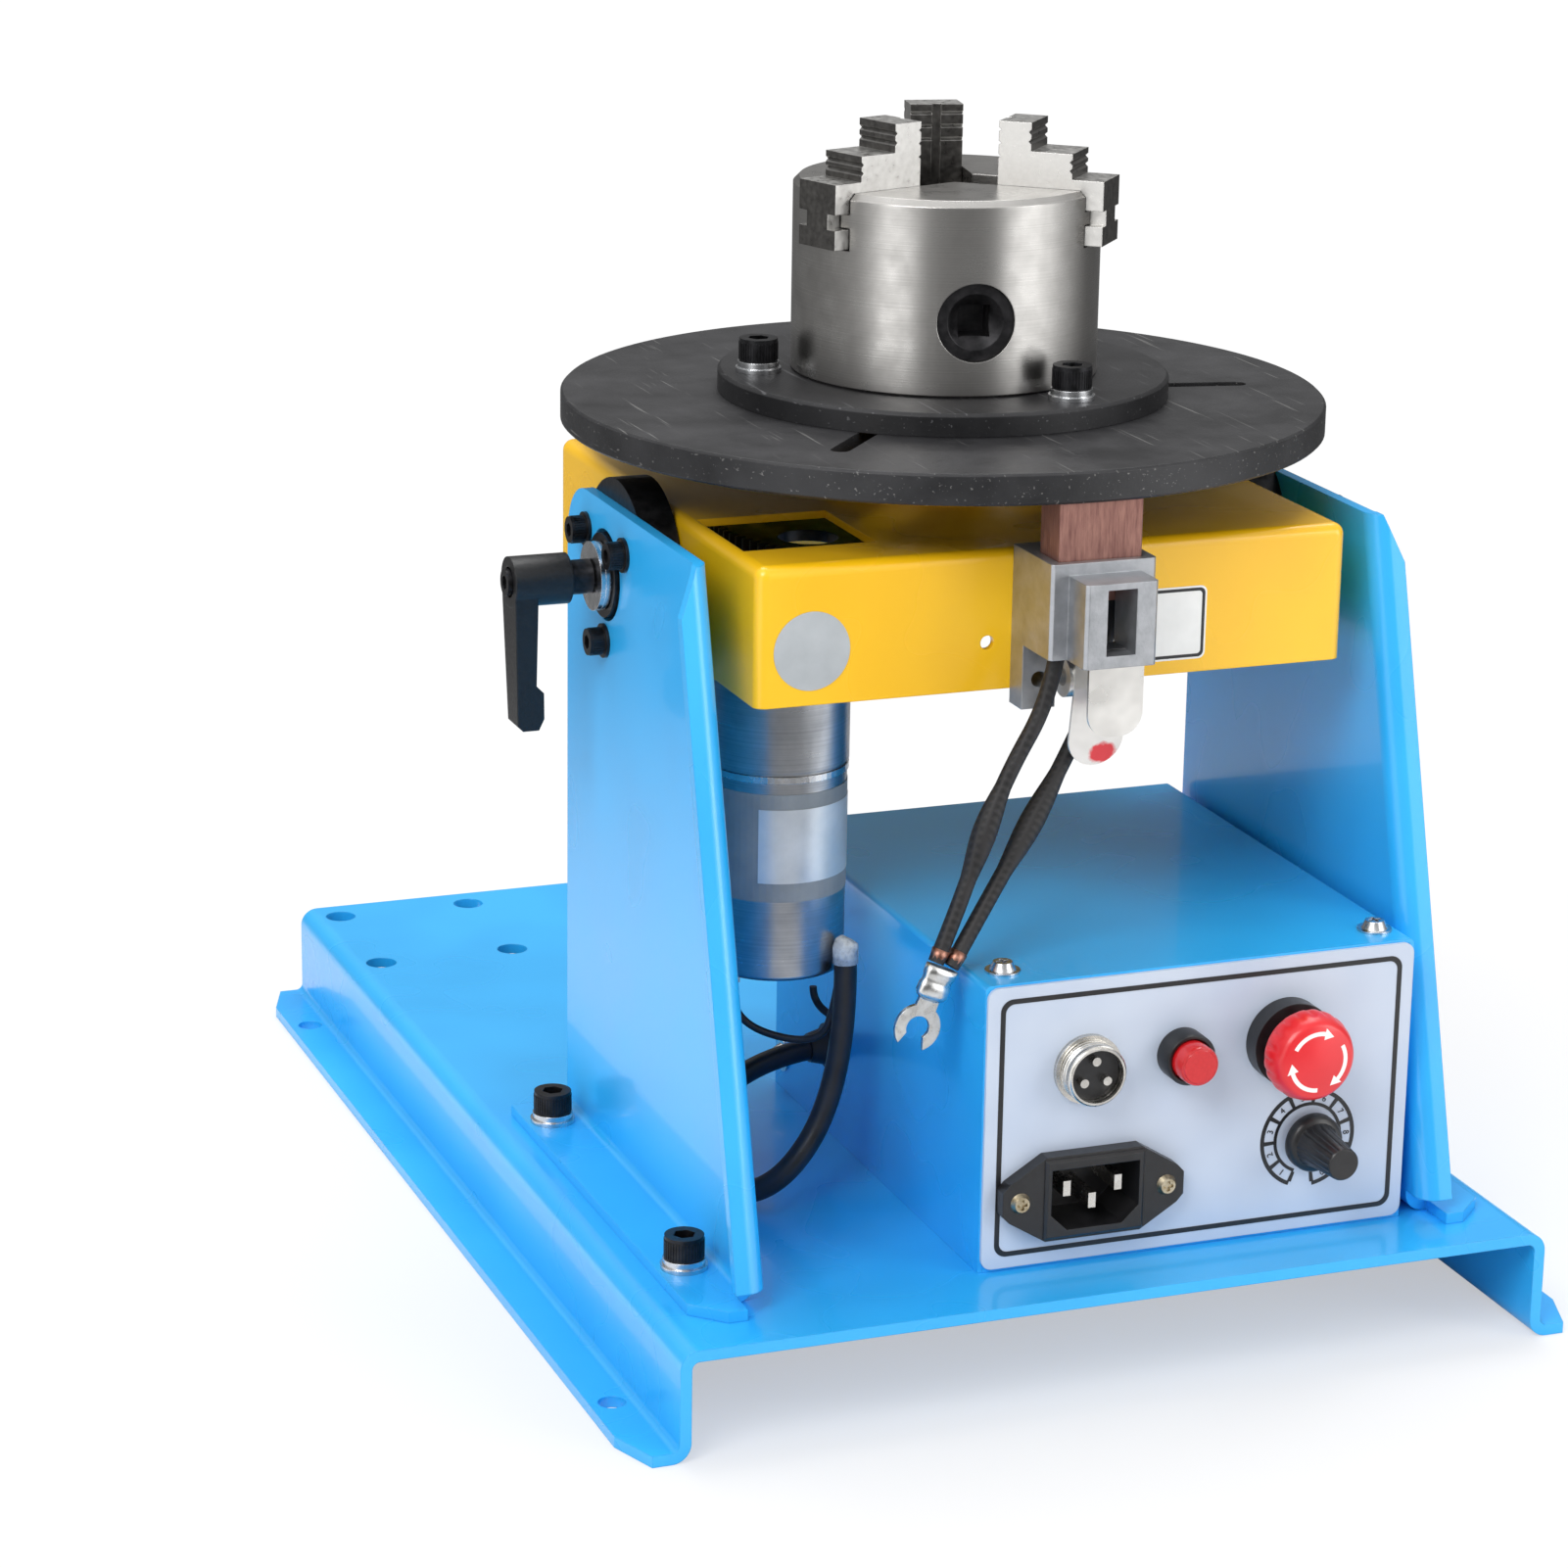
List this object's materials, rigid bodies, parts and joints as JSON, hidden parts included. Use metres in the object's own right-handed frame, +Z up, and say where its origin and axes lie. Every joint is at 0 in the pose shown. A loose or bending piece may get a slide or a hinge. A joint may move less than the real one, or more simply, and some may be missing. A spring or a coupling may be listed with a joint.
{
  "type": "welding positioner",
  "caption": "Bench welding positioner: rotary table with a self-centring chuck on a tilting housing, folded steel base with side brackets, speed control box and brush contact.",
  "frame": {"origin": "centre of the base's footprint, on the bench", "axes": "+Z up, -Y towards the front with the control panel, +X to the right seen from the front"},
  "size_m": [0.26, 0.354, 0.3024],
  "materials": {
    "blue_paint": "gloss powder coat",
    "yellow_paint": "gloss powder coat",
    "black_oxide": "blackened steel, lightly oiled",
    "table_black": "blackened turned steel",
    "zinc_plate": "bright zinc",
    "turned_steel": "turned",
    "chuck_steel": "ground",
    "hard_steel": "hardened, dark",
    "cast_alloy": "die cast and sprayed",
    "spring_steel": "rolled strip",
    "copper_graphite": "pressed, worn",
    "contact_brass": "plated",
    "black_plastic": "moulded",
    "red_plastic": "moulded",
    "red_lens": "clear red",
    "label_sheet": "printed sheet",
    "cable_rubber": "black sheath",
    "tinned_copper": "tinned"
  },
  "bodies": {
    "frame": {"base_plate": "blue_paint", "bracket_right": "blue_paint", "bracket_left": "blue_paint", "bracket_bolts": "black_oxide", "bracket_washers": "zinc_plate", "pivot_hubs": "black_oxide", "pivot_screws": "black_oxide", "box_chassis": "blue_paint", "box_cover": "blue_paint", "box_screws": "zinc_plate", "panel_label": "label_sheet", "mains_inlet": "black_plastic", "mains_pins": "contact_brass", "inlet_screws": "contact_brass", "foot_socket": "zinc_plate", "foot_socket_insert": "black_plastic", "foot_socket_pins": "contact_brass", "lamp_bezel": "black_plastic", "lamp_lens": "red_lens", "stop_collar": "black_plastic", "speed_pot": "turned_steel", "cable_grommet": "cable_rubber", "motor_cable": "cable_rubber"},
    "stop_stem": {"stop_stem": "black_plastic"},
    "stop_cap": {"stop_cap": "red_plastic"},
    "speed_knob": {"speed_knob": "black_plastic"},
    "tilt": {"tilt_housing": "yellow_paint", "trunnions": "turned_steel", "clamp_washers": "zinc_plate", "motor_bracket": "yellow_paint", "motor_gearbox": "turned_steel", "motor_can": "turned_steel", "bearing_cup": "yellow_paint", "spindle_bearings": "turned_steel", "brush_block": "cast_alloy", "brush_spring": "spring_steel", "brush_clip": "spring_steel", "brush_lead_front": "cable_rubber", "brush_lead_rear": "cable_rubber", "fork_lug": "tinned_copper"},
    "brush": {"brush": "copper_graphite"},
    "spindle": {"spindle": "turned_steel", "drive_gear": "black_oxide", "table": "table_black", "chuck_flange": "black_oxide", "flange_bolts": "black_oxide", "flange_washers": "zinc_plate", "chuck_body": "chuck_steel"},
    "scroll": {"scroll": "hard_steel"},
    "jaw_1": {"jaw_1": "chuck_steel"},
    "jaw_2": {"jaw_2": "chuck_steel"},
    "jaw_3": {"jaw_3": "chuck_steel"},
    "key_pinion_1": {"key_pinion_1": "hard_steel"},
    "key_pinion_2": {"key_pinion_2": "hard_steel"},
    "key_pinion_3": {"key_pinion_3": "hard_steel"},
    "motor_pinion": {"motor_pinion": "turned_steel"},
    "lever_core_right": {"lever_core_right": "black_oxide"},
    "lever_core_left": {"lever_core_left": "black_oxide"},
    "lever_handle_right": {"lever_handle_right": "black_plastic"},
    "lever_handle_left": {"lever_handle_left": "black_plastic"}
  },
  "joints": [
    {"name": "table_tilt", "type": "hinge", "parent": "frame", "child": "tilt", "pos_m": [0, -0.0435, 0.187], "axis": [-1, 0, 0], "range_deg": [0, 90], "deforming": ["motor_cable"]},
    {"name": "spindle_spin", "type": "hinge", "parent": "tilt", "child": "spindle", "pos_m": [0, -0.0435, 0.2], "axis": [0, 0, 1], "continuous": true},
    {"name": "pinion_spin", "type": "hinge", "parent": "tilt", "child": "motor_pinion", "pos_m": [-0.05452, -0.08579, 0.19], "axis": [0, 0, 1], "continuous": true},
    {"name": "scroll_turn", "type": "hinge", "parent": "spindle", "child": "scroll", "pos_m": [0, -0.0435, 0.266], "axis": [0, 0, 1], "range_deg": [-216, 792]},
    {"name": "jaw_1_slide", "type": "slide", "parent": "spindle", "child": "jaw_1", "axis": [0.1908, 0.9816, 0], "range_m": [-0.0111, 0.0031]},
    {"name": "jaw_2_slide", "type": "slide", "parent": "spindle", "child": "jaw_2", "axis": [-0.9455, -0.3256, 0], "range_m": [-0.0111, 0.0031]},
    {"name": "jaw_3_slide", "type": "slide", "parent": "spindle", "child": "jaw_3", "axis": [0.7547, -0.6561, 0], "range_m": [-0.0111, 0.0031]},
    {"name": "key_pinion_1_turn", "type": "hinge", "parent": "spindle", "child": "key_pinion_1", "pos_m": [-0.00687, -0.07884, 0.2552], "axis": [-0.1908, -0.9816, 0], "range_deg": [-2890, 790]},
    {"name": "key_pinion_2_turn", "type": "hinge", "parent": "spindle", "child": "key_pinion_2", "pos_m": [0.03404, -0.03178, 0.2552], "axis": [0.9455, 0.3256, 0], "range_deg": [-2890, 790]},
    {"name": "key_pinion_3_turn", "type": "hinge", "parent": "spindle", "child": "key_pinion_3", "pos_m": [-0.02717, -0.01988, 0.2552], "axis": [-0.7547, 0.6561, 0], "range_deg": [-2890, 790]},
    {"name": "brush_slide", "type": "slide", "parent": "tilt", "child": "brush", "axis": [0, 0, 1], "range_m": [-0.01, 0], "stiffness_N_per_m": 300, "springref_m": 0.012, "deforming": ["brush_spring", "brush_lead_front", "brush_lead_rear"]},
    {"name": "stop_press", "type": "slide", "parent": "frame", "child": "stop_stem", "axis": [0, 1, 0], "range_m": [0, 0.003], "stiffness_N_per_m": 1500, "springref_m": -0.002},
    {"name": "stop_twist", "type": "hinge", "parent": "stop_stem", "child": "stop_cap", "pos_m": [0.051, -0.165, 0.0825], "axis": [0, -1, 0], "range_deg": [-30, 0], "stiffness_Nm_per_rad": 0.1, "springref_deg": 5.73},
    {"name": "speed_knob_turn", "type": "hinge", "parent": "frame", "child": "speed_knob", "pos_m": [0.0587, -0.165, 0.0547], "axis": [0, -1, 0], "range_deg": [-60, 240]},
    {"name": "lever_turn_right", "type": "hinge", "parent": "tilt", "child": "lever_core_right", "pos_m": [0.1, -0.0435, 0.187], "axis": [1, 0, 0], "range_deg": [-60, 30]},
    {"name": "lever_lift_right", "type": "slide", "parent": "lever_core_right", "child": "lever_handle_right", "axis": [1, 0, 0], "range_m": [0, 0.004], "stiffness_N_per_m": 500, "springref_m": -0.004},
    {"name": "lever_turn_left", "type": "hinge", "parent": "tilt", "child": "lever_core_left", "pos_m": [-0.1, -0.0435, 0.187], "axis": [-1, 0, 0], "range_deg": [-60, 30]},
    {"name": "lever_lift_left", "type": "slide", "parent": "lever_core_left", "child": "lever_handle_left", "axis": [-1, 0, 0], "range_m": [0, 0.004], "stiffness_N_per_m": 500, "springref_m": -0.004}
  ],
  "couplings": [
    {"joint": "pinion_spin", "follows": "spindle_spin", "ratio": -9.6154},
    {"joint": "jaw_1_slide", "follows": "scroll_turn", "m_per_rad": -0.00079577},
    {"joint": "key_pinion_1_turn", "follows": "scroll_turn", "ratio": -3.6429},
    {"joint": "jaw_2_slide", "follows": "scroll_turn", "m_per_rad": -0.00079577},
    {"joint": "key_pinion_2_turn", "follows": "scroll_turn", "ratio": -3.6429},
    {"joint": "jaw_3_slide", "follows": "scroll_turn", "m_per_rad": -0.00079577},
    {"joint": "key_pinion_3_turn", "follows": "scroll_turn", "ratio": -3.6429}
  ]
}
